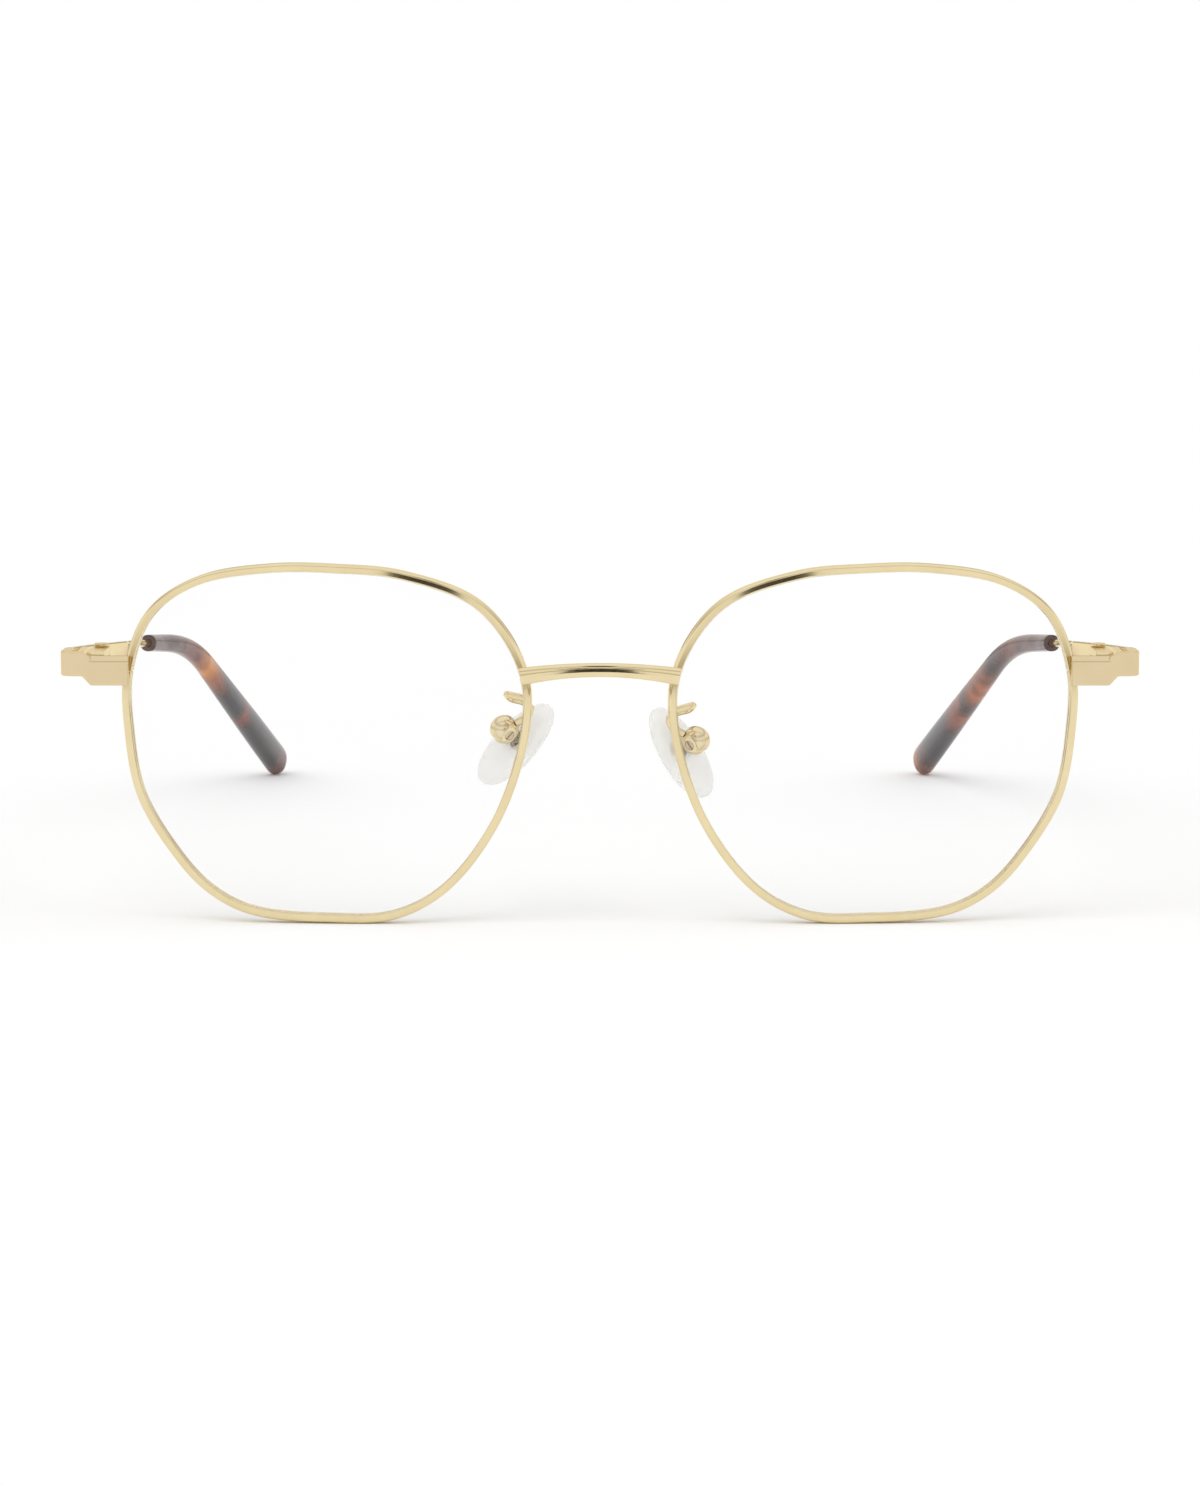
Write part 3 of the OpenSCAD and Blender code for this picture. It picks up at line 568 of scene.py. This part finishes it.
def pad_arm_mesh(side):
    centre = box_centre(side)
    station = nasal_station(PAD_RISE[side] + ARM_UP)
    rim_place = on_lens(OUTLINE[station] + NORMALS[station] * RIM_W / 2, LENS_T / 2 + RIM_D / 2)
    start = rim_place + Vector((0, SEAT_GAP + ARM_ROOM, 0))
    end = centre + ARM_ENTER * (BOX_R + 2 * SEAT_GAP)
    stops = ([start + Vector((0, ARM_FOOT, 0))] + [centre + Vector(p) for p in ARM_ROUTE]
             + [centre + ARM_ENTER * (BOX_R + ARM_END), end])
    path = [start] + open_spline(stops, ARM_STEPS)
    n = len(path)
    rings = wire_rings(path, ACROSS, [ARM_D] * n, [ARM_D] * n, [1] * n, ARM_SIDES)
    shape = skin(rings, path[0], path[-1])
    return shade(new_mesh(f"{side}_arm_wire", SIDES[side], shape), ROUND_SHARP)


def pad_ring(side, across, depth):
    ring = []
    for a in angles(PAD_SIDES):
        x = PAD_W / 2 * math.cos(a) * across * (1 - PAD_TAPER * math.sin(a))
        z = PAD_L / 2 * math.sin(a) * mix(across, 1, PAD_END_SHARE) - PAD_HANG
        ring.append(at_box(side, (x, PAD_REACH + PAD_T * depth, z)))
    return ring


def disc_tool(side, r, low, high):
    rings = [[at_box(side, (r * math.cos(a), y, r * math.sin(a))) for a in angles(DISC_SIDES)]
             for y in (low, high)]
    ends = [at_box(side, (0, y, 0)) for y in (low, high)]
    return new_mesh("disc_tool", SIDES[side], skin(rings, ends[0], ends[1]))


def block_tool(side, low, high):
    (x0, y0, z0), (x1, y1, z1) = low, high
    rings = [[at_box(side, p) for p in ((x0, y, z0), (x1, y, z0), (x1, y, z1), (x0, y, z1))]
             for y in (y0, y1)]
    ends = [at_box(side, ((x0 + x1) / 2, y, (z0 + z1) / 2)) for y in (y0, y1)]
    return new_mesh("block_tool", SIDES[side], skin(rings, ends[0], ends[1]))


# A round form turned about the pad screw, from its places along the screw and radii there
def turned(name, side, stations):
    rings = [[at_box(side, (x, r * math.cos(a), r * math.sin(a))) for a in angles(BOX_SIDES)]
             for x, r in stations]
    ends = [at_box(side, (x, 0, 0)) for x in (stations[0][0], stations[-1][0])]
    return new_mesh(name, SIDES[side], skin(rings, ends[0], ends[1]))


# A pad with the pocket that holds its plate, and the opening for the plate's neck
def nose_pad_mesh(side):
    curve = open_spline([Vector((across, depth)) for depth, across in PAD_PROFILE], PROFILE_STEPS)
    rings = [pad_ring(side, p.x, p.y) for p in curve]
    ends = [at_box(side, (0, PAD_REACH + s * PAD_T / 2, -PAD_HANG)) for s in (-1, 1)]
    pad = new_mesh(f"{side}_soft_pad", SIDES[side], skin(rings, ends[0], ends[1]))
    plate_y = PAD_REACH - PAD_PLATE_T / 2
    cut_out(pad, disc_tool(side, PAD_PLATE_D / 2 + SEAT_GAP, plate_y - SEAT_GAP,
                           plate_y + PAD_PLATE_T + SEAT_GAP))
    cut_out(pad, disc_tool(side, NECK_D / 2 + POCKET_ROOM, 0, plate_y))
    return shade(pad, PAD_SHARP)


# Outer form of a pad box: a ball with flat cheeks whose edges are rounded
def box_stations():
    flat = BOX_R * BOX_FLAT_SHARE
    edge_r = math.sqrt(BOX_R ** 2 - flat ** 2)
    near = BOX_SOFT_SHARE * BOX_SOFT
    first = math.degrees(math.acos((flat - BOX_SOFT) / BOX_R))
    stations = [(-flat, edge_r - BOX_SOFT), (-flat + near, edge_r - near)]
    for k in range(BOX_STEPS + 1):
        a = math.radians(180 - first - (180 - 2 * first) * k / BOX_STEPS)
        stations.append((BOX_R * math.cos(a), BOX_R * math.sin(a)))
    return stations + [(flat - near, edge_r - near), (flat, edge_r - BOX_SOFT)]


# The box is open towards its pad, slotted for the lug and bored for the screw and its head
def pad_box_mesh(side):
    box = turned(f"{side}_round_box", side, box_stations())
    far = 2 * BOX_R
    slot_half = LUG_T / 2 + KNUCKLE_GAP
    room = LUG_R + LUG_ROOM
    bore = PAD_SCREW_D / 2 + BORE_CLEARANCE
    head = PAD_SCREW_HEAD_D / 2 + BORE_CLEARANCE
    seat = -BOX_R * BOX_FLAT_SHARE + PAD_SCREW_HEAD_T
    cut_out(box, block_tool(side, (-far, BOX_OPEN, -far), (far, far, far)))
    cut_out(box, block_tool(side, (-slot_half, -room, -far), (slot_half, far, far)))
    cut_out(box, turned("bore_tool", side,
                        [(-far, head), (seat, head), (seat, bore), (far, bore)]))
    return shade(box, BOX_SHARP)


# Materials
def set_values(node, values):
    for name, value in values.items():
        node.inputs[name].default_value = value


# A material, its nodes and links, and the inputs of its surface
def shader(name, values):
    material = bpy.data.materials.new(name)
    material.use_nodes = True
    nodes = material.node_tree.nodes
    surface = nodes["Principled BSDF"]
    set_values(surface, values)
    return material, nodes, material.node_tree.links, surface.inputs


def noise(nodes, links, scale, detail=3.0):
    place = nodes.new("ShaderNodeTexCoord")
    grain = nodes.new("ShaderNodeTexNoise")
    set_values(grain, {"Scale": scale, "Detail": detail})
    links.new(place.outputs["Object"], grain.inputs["Vector"])
    return grain.outputs["Fac"]


# One coordinate of a place, as "Y" of "Object"
def axis(nodes, links, kind, letter):
    place = nodes.new("ShaderNodeTexCoord")
    parts = nodes.new("ShaderNodeSeparateXYZ")
    links.new(place.outputs[kind], parts.inputs["Vector"])
    return parts.outputs[letter]


# A math node fed with sockets and plain numbers
def worked(nodes, links, operation, values):
    node = nodes.new("ShaderNodeMath")
    node.operation = operation
    for socket, value in zip(node.inputs, values):
        if isinstance(value, (int, float)):
            socket.default_value = value
        else:
            links.new(value, socket)
    return node.outputs["Value"]


def ramp(nodes, links, source, stops):
    node = nodes.new("ShaderNodeValToRGB")
    links.new(source, node.inputs["Fac"])
    bar = node.color_ramp.elements
    while len(bar) < len(stops):
        bar.new(0.5)
    for element, (place, colour) in zip(bar, stops):
        element.position = place
        element.color = (*colour, 1)
    return node.outputs["Color"]


# Two tones that change over in the middle of a noise
def two_tones(dark, light):
    return [(0.3, dark), (0.7, light)]


def spread_value(nodes, links, source, low, high, start=0, end=1):
    node = nodes.new("ShaderNodeMapRange")
    links.new(source, node.inputs["Value"])
    set_values(node, {"From Min": start, "From Max": end, "To Min": low, "To Max": high})
    return node.outputs["Result"]


def bump(nodes, links, source, strength, depth):
    node = nodes.new("ShaderNodeBump")
    set_values(node, {"Strength": strength, "Distance": depth})
    links.new(source, node.inputs["Height"])
    return node.outputs["Normal"]


# Metals. Noise scales are waves to a metre, here and below, and bump depths are in metres.
METAL_CLOUD = 260
METAL_DETAIL = 5
METAL_BUMP = 0.04
METAL_BUMP_DEPTH = 0.000005
# Tint of a metal's reflection where it is seen at a low angle
METAL_EDGE = (0.96, 0.86, 0.62, 1)


def metal(name, dark, light, smooth_r, rough_r, grain):
    values = {"Metallic": 1, "Specular Tint": METAL_EDGE}
    material, nodes, links, inputs = shader(name, values)
    cloud = noise(nodes, links, METAL_CLOUD)
    fine = noise(nodes, links, grain, METAL_DETAIL)
    links.new(ramp(nodes, links, cloud, two_tones(dark, light)), inputs["Base Color"])
    links.new(spread_value(nodes, links, fine, smooth_r, rough_r), inputs["Roughness"])
    links.new(bump(nodes, links, fine, METAL_BUMP, METAL_BUMP_DEPTH), inputs["Normal"])
    return material


# Milky silicone of the nose pads
SILICONE_VALUES = {"IOR": 1.42, "Alpha": 0.45, "Subsurface Weight": 0.5,
                   "Subsurface Radius": (1.0, 0.95, 0.85), "Subsurface Scale": 0.0012}
SILICONE_TONES = two_tones((0.90, 0.89, 0.855), (0.955, 0.95, 0.93))
SILICONE_ROUGHNESS = (0.28, 0.42)
SILICONE_CLOUD = 180
SILICONE_GRAIN = 1500
SILICONE_DETAIL = 4
SILICONE_BUMP = 0.06
SILICONE_BUMP_DEPTH = 0.00003


def silicone():
    material, nodes, links, inputs = shader("milky_silicone", SILICONE_VALUES)
    cloud = noise(nodes, links, SILICONE_CLOUD)
    fine = noise(nodes, links, SILICONE_GRAIN, SILICONE_DETAIL)
    links.new(ramp(nodes, links, cloud, SILICONE_TONES), inputs["Base Color"])
    links.new(spread_value(nodes, links, fine, *SILICONE_ROUGHNESS), inputs["Roughness"])
    links.new(bump(nodes, links, fine, SILICONE_BUMP, SILICONE_BUMP_DEPTH), inputs["Normal"])
    return material


# Clear lens with a thin film on it
LENS_VALUES = {"Base Color": (0.95, 0.97, 0.97, 1), "IOR": 1.5}
LENS_ROUGHNESS = (0.01, 0.04)
LENS_FILM = 90
LENS_FILM_DETAIL = 2
# How much each face shows from the front and edge on, and how late it changes over
LENS_HAZE = 0.02
LENS_GLANCE = 0.7
GLANCE_POWER = 3.0


def clear_lens():
    material, nodes, links, inputs = shader("clear_lens", LENS_VALUES)
    film = noise(nodes, links, LENS_FILM, LENS_FILM_DETAIL)
    links.new(spread_value(nodes, links, film, *LENS_ROUGHNESS), inputs["Roughness"])
    facing = nodes.new("ShaderNodeLayerWeight")
    set_values(facing, {"Blend": 0.5})
    glance = worked(nodes, links, "POWER", [facing.outputs["Facing"], GLANCE_POWER])
    links.new(spread_value(nodes, links, glance, LENS_HAZE, LENS_GLANCE), inputs["Alpha"])
    return material


# Colour along the tip, by depth in the shared frame, with mottling laid over it
TIP_TONES = {
    "right": [(10, (0.07, 0.03, 0.025)), (13, (0.15, 0.10, 0.10)), (22, (0.17, 0.10, 0.09)),
              (28, (0.19, 0.045, 0.025)), (33, (0.58, 0.22, 0.035)), (37, (0.30, 0.09, 0.03)),
              (41, (0.030, 0.020, 0.022)), (48, (0.028, 0.019, 0.022)), (50, (0.20, 0.045, 0.025)),
              (54, (0.032, 0.020, 0.022)), (67, (0.030, 0.020, 0.022)), (72, (0.24, 0.06, 0.035))],
    "left": [(10, (0.07, 0.03, 0.025)), (13, (0.15, 0.10, 0.10)), (22, (0.16, 0.09, 0.08)),
             (26, (0.17, 0.05, 0.035)), (32, (0.045, 0.025, 0.025)), (41, (0.42, 0.12, 0.035)),
             (46, (0.040, 0.024, 0.025)), (50, (0.30, 0.08, 0.035)), (55, (0.035, 0.026, 0.027)),
             (64, (0.032, 0.024, 0.025)), (69, (0.16, 0.05, 0.03)), (73, (0.45, 0.16, 0.05))]}
TIP_START_Y = 5.0
TIP_END_Y = 76.0
# Length by which the mottling carries the colours forward and back
MOTTLE = 7.0
TIP_VALUES = {"IOR": 1.4, "Coat Weight": 0.1, "Coat Roughness": 0.03}
TIP_ROUGHNESS = (0.10, 0.22)
TIP_CLOUD = 130
TIP_CLOUD_DETAIL = 4
TIP_SPOTS = 260
TIP_SPOTS_DETAIL = 2
SPOT_TONES = [(0.36, (0.62, 0.55, 0.52)), (0.60, (1.15, 1.12, 1.1))]


def multiplied(nodes, links, first, second):
    node = nodes.new("ShaderNodeMix")
    node.data_type = "RGBA"
    node.blend_type = "MULTIPLY"
    node.inputs["Factor"].default_value = 1
    links.new(first, node.inputs["A"])
    links.new(second, node.inputs["B"])
    return node.outputs["Result"]


def tortoise(side):
    material, nodes, links, inputs = shader(f"tortoise_{side}", TIP_VALUES)
    cloud = noise(nodes, links, TIP_CLOUD, TIP_CLOUD_DETAIL)
    drift = worked(nodes, links, "MULTIPLY_ADD",
                   [cloud, MOTTLE * MM, axis(nodes, links, "Object", "Y")])
    share = spread_value(nodes, links, drift, 0, 1, (TIP_START_Y + MOTTLE / 2) * MM,
                         (TIP_END_Y + MOTTLE / 2) * MM)
    span = TIP_END_Y - TIP_START_Y
    stops = [((y - TIP_START_Y) / span, tone) for y, tone in TIP_TONES[side]]
    base = ramp(nodes, links, share, stops)
    spots = ramp(nodes, links, noise(nodes, links, TIP_SPOTS, TIP_SPOTS_DETAIL), SPOT_TONES)
    links.new(multiplied(nodes, links, base, spots), inputs["Base Color"])
    links.new(spread_value(nodes, links, cloud, *TIP_ROUGHNESS), inputs["Roughness"])
    return material


# Darker and lighter tone, least and greatest roughness, and scale of the fine grain
GOLD = metal("champagne_gold", (0.80, 0.67, 0.405), (0.84, 0.715, 0.445), 0.07, 0.12, 5200)
SATIN = metal("satin_gold", (0.72, 0.585, 0.36), (0.76, 0.625, 0.395), 0.12, 0.2, 4600)
SOLDER = metal("soldered_gold", (0.785, 0.665, 0.43), (0.825, 0.71, 0.465), 0.15, 0.24, 3800)
BROWN = metal("browned_screw", (0.58, 0.47, 0.32), (0.70, 0.59, 0.42), 0.2, 0.34, 4200)
GILT = metal("gilt_screw", (0.74, 0.60, 0.36), (0.84, 0.71, 0.46), 0.12, 0.24, 4200)
STEEL = metal("turned_steel", (0.42, 0.36, 0.28), (0.56, 0.49, 0.39), 0.2, 0.36, 4200)
SILICONE = silicone()
LENS = clear_lens()

# CAD solids that stay: the finish of each, and how wide its edges are rounded
KEPT_SOLIDS = {"end_piece": (SATIN, 0.22), "upper_lock": (SOLDER, 0.1),
               "lower_lock": (SOLDER, 0.1), "front_hinge": (SOLDER, 0.08),
               "temple_hinge": (SOLDER, 0.08), "pad_plate": (STEEL, 0.04),
               "pad_screw": (BROWN, 0.04), "lock_screw": (GILT, 0.04),
               "hinge_screw": (GILT, 0.04)}
# Their points nearer than this join first, and faces within the first angle become one flat
SOLID_SAME_POINT = 0.001
FLAT_ANGLE = math.radians(1)
EDGE_ANGLE = math.radians(28)
EDGE_SEGMENTS = 3


def finish_solid(name, material, width):
    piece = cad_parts[name]
    for place in piece.material_slots:
        place.material = material
    weld = piece.modifiers.new("Weld", "WELD")
    weld.merge_threshold = SOLID_SAME_POINT * MM
    flat = piece.modifiers.new("Flat", "DECIMATE")
    flat.decimate_type = "DISSOLVE"
    flat.angle_limit = FLAT_ANGLE
    edge = piece.modifiers.new("Edge", "BEVEL")
    edge.width = width * MM
    edge.segments = EDGE_SEGMENTS
    edge.limit_method = "ANGLE"
    edge.angle_limit = EDGE_ANGLE
    close = piece.modifiers.new("Close", "WELD")
    close.merge_threshold = SAME_POINT * MM
    even = piece.modifiers.new("Even", "WEIGHTED_NORMAL")
    even.keep_sharp = True


def build_front():
    settle(bridge_mesh(), GOLD, "front", "bridge")
    for side in SIDES:
        settle(rim_mesh(side), GOLD, "front", f"{side}_rim")
        settle(lens_mesh(side), LENS, "front", f"{side}_lens")
        settle(pad_arm_mesh(side), GOLD, "front", f"{side}_pad_arm")
        settle(nose_pad_mesh(side), SILICONE, f"{side}_pad", f"{side}_nose_pad")
        settle(pad_box_mesh(side), SOLDER, "front", f"{side}_pad_box")


def build_temples():
    for side in SIDES:
        body = f"{side}_temple"
        settle(temple_arm_mesh(side), GOLD, body, f"{side}_temple_arm")
        settle(temple_tip_mesh(side), tortoise(side), body, f"{side}_temple_tip")


def finish_solids():
    for side in SIDES:
        for part, (material, width) in KEPT_SOLIDS.items():
            finish_solid(f"{side}_{part}", material, width)


# The camera and the lamps aim at this height at the lens fronts
AIM_Z = 23.98
TARGET = Vector((0, FRONT_Y, AIM_Z)) * MM

# Studio, in metres
CAMERA_DOWN = math.radians(7.4)
CAMERA_REACH = 0.5
CAMERA_NEAR = 0.01
CAMERA_FAR = 50
LENS_MM = 93.96
SENSOR_MM = 36
# Name, place, width in degrees and strength of each lamp
LAMPS = [("key", (-0.55, -0.75, 1.2), 50, 0.8), ("fill", (0.75, -0.35, 0.9), 60, 0.5)]
# Name, distance before the lenses, height, and size of each dark card
CARDS = [("upper_card", 0.1, 0.1235, (0.014, 0.05)), ("lower_card", 0.1, 0.024, (0.018, 0.044)),
         ("far_card", 0.45, 0.155, (0.085, 0.056))]
CARD_VALUES = {"Specular IOR Level": 0}
CARD_TONES = two_tones((0.03, 0.025, 0.02), (0.05, 0.042, 0.032))
CARD_CLOUD = 30
FLOOR_W = 24.0
FLOOR_DROP = 0.00005
FLOOR_VALUES = {"Specular IOR Level": 0, "Roughness": 0.9, "Emission Color": (1, 1, 1, 1)}
FLOOR_TONES = two_tones((0.965, 0.965, 0.965), (0.98, 0.98, 0.98))
FLOOR_CLOUD = 3
# What sight and reflections add to the floor, so that it meets the white background
FLOOR_LIFT = 0.03
WORLD_STRENGTH = 0.68
# Grey bands from below to above that reflections see, as between studio panels
BANDS = [(0.0, (0.62, 0.60, 0.57)), (0.47, (0.85, 0.83, 0.80)), (0.495, (0.42, 0.38, 0.32)),
         (0.515, (0.42, 0.38, 0.32)), (0.55, (0.92, 0.905, 0.885)), (0.63, (1, 0.99, 0.97)),
         (0.70, (1, 1, 1)), (0.78, (0.55, 0.53, 0.50)), (0.88, (1, 1, 1))]


def place_camera():
    data = bpy.data.cameras.new("camera")
    data.sensor_width = SENSOR_MM
    data.sensor_fit = "AUTO"
    data.lens = LENS_MM
    data.clip_start = CAMERA_NEAR
    data.clip_end = CAMERA_FAR
    camera = bpy.data.objects.new("camera", data)
    back = Vector((0, -math.cos(CAMERA_DOWN), math.sin(CAMERA_DOWN)))
    camera.location = TARGET + back * CAMERA_REACH
    camera.rotation_euler = (math.pi / 2 - CAMERA_DOWN, 0, 0)
    bpy.context.scene.collection.objects.link(camera)
    bpy.context.scene.camera = camera


# A distant soft lamp lights the whole floor evenly
def place_light(name, place, spread_angle, power):
    data = bpy.data.lights.new(name, "SUN")
    data.energy = power
    data.angle = math.radians(spread_angle)
    lamp = bpy.data.objects.new(name, data)
    lamp.visible_glossy = False
    lamp.location = place
    lamp.rotation_euler = (TARGET - Vector(place)).to_track_quat("-Z", "Y").to_euler()
    bpy.context.scene.collection.objects.link(lamp)


def flat_sheet(name, width, height, material):
    w = width / 2
    h = height / 2
    mesh = bpy.data.meshes.new(name)
    mesh.from_pydata([(-w, -h, 0), (w, -h, 0), (w, h, 0), (-w, h, 0)], [], [(0, 1, 2, 3)])
    mesh.materials.append(material)
    sheet = bpy.data.objects.new(name, mesh)
    bpy.context.scene.collection.objects.link(sheet)
    return sheet


# A dark card that only reflections see, as the black panels between studio lamps
def place_card(name, before, height, size):
    material, nodes, links, inputs = shader(name, CARD_VALUES)
    tones = ramp(nodes, links, noise(nodes, links, CARD_CLOUD), CARD_TONES)
    links.new(tones, inputs["Base Color"])
    card = flat_sheet(name, *size, material)
    card.location = (0, FRONT_Y * MM - before, height)
    card.rotation_euler = (TARGET - card.location).to_track_quat("Z", "Y").to_euler()
    card.visible_camera = False
    card.visible_diffuse = False
    card.visible_transmission = False
    card.visible_shadow = False


# One for a ray of any of the kinds named
def sight(nodes, links, names):
    rays = nodes.new("ShaderNodeLightPath")
    total = rays.outputs[names[0]]
    for name in names[1:]:
        total = worked(nodes, links, "MAXIMUM", [total, rays.outputs[name]])
    return total


def place_floor():
    material, nodes, links, inputs = shader("pale_floor", FLOOR_VALUES)
    tones = ramp(nodes, links, noise(nodes, links, FLOOR_CLOUD), FLOOR_TONES)
    links.new(tones, inputs["Base Color"])
    seen = sight(nodes, links, ["Is Camera Ray", "Is Glossy Ray", "Is Transmission Ray"])
    links.new(spread_value(nodes, links, seen, 0, FLOOR_LIFT), inputs["Emission Strength"])
    floor = flat_sheet("floor", FLOOR_W, FLOOR_W, material)
    floor.location.z = -FLOOR_DROP


def background(nodes, strength):
    node = nodes.new("ShaderNodeBackground")
    set_values(node, {"Color": (1, 1, 1, 1), "Strength": strength})
    return node


def chosen(nodes, links, share, first, second):
    node = nodes.new("ShaderNodeMixShader")
    links.new(share, node.inputs["Fac"])
    links.new(first, node.inputs[1])
    links.new(second, node.inputs[2])
    return node.outputs["Shader"]


# Soft white surroundings, banded in reflections and plain white to the camera
def make_world():
    world = bpy.data.worlds.new("studio")
    bpy.context.scene.world = world
    world.use_nodes = True
    nodes = world.node_tree.nodes
    links = world.node_tree.links
    nodes.clear()
    soft = background(nodes, WORLD_STRENGTH)
    banded = background(nodes, 1)
    white = background(nodes, 1)
    share = spread_value(nodes, links, axis(nodes, links, "Generated", "Z"), 0, 1, -1, 1)
    links.new(ramp(nodes, links, share, BANDS), banded.inputs["Color"])
    mirrored = sight(nodes, links, ["Is Glossy Ray"])
    seen = sight(nodes, links, ["Is Camera Ray", "Is Transmission Ray"])
    around = chosen(nodes, links, mirrored, soft.outputs["Background"],
                    banded.outputs["Background"])
    out = nodes.new("ShaderNodeOutputWorld")
    links.new(chosen(nodes, links, seen, around, white.outputs["Background"]),
              out.inputs["Surface"])


def build_studio():
    place_camera()
    place_floor()
    make_world()
    for lamp in LAMPS:
        place_light(*lamp)
    for card in CARDS:
        place_card(*card)
    bpy.context.scene.view_settings.view_transform = "Standard"


build_front()
build_temples()
finish_solids()
build_studio()
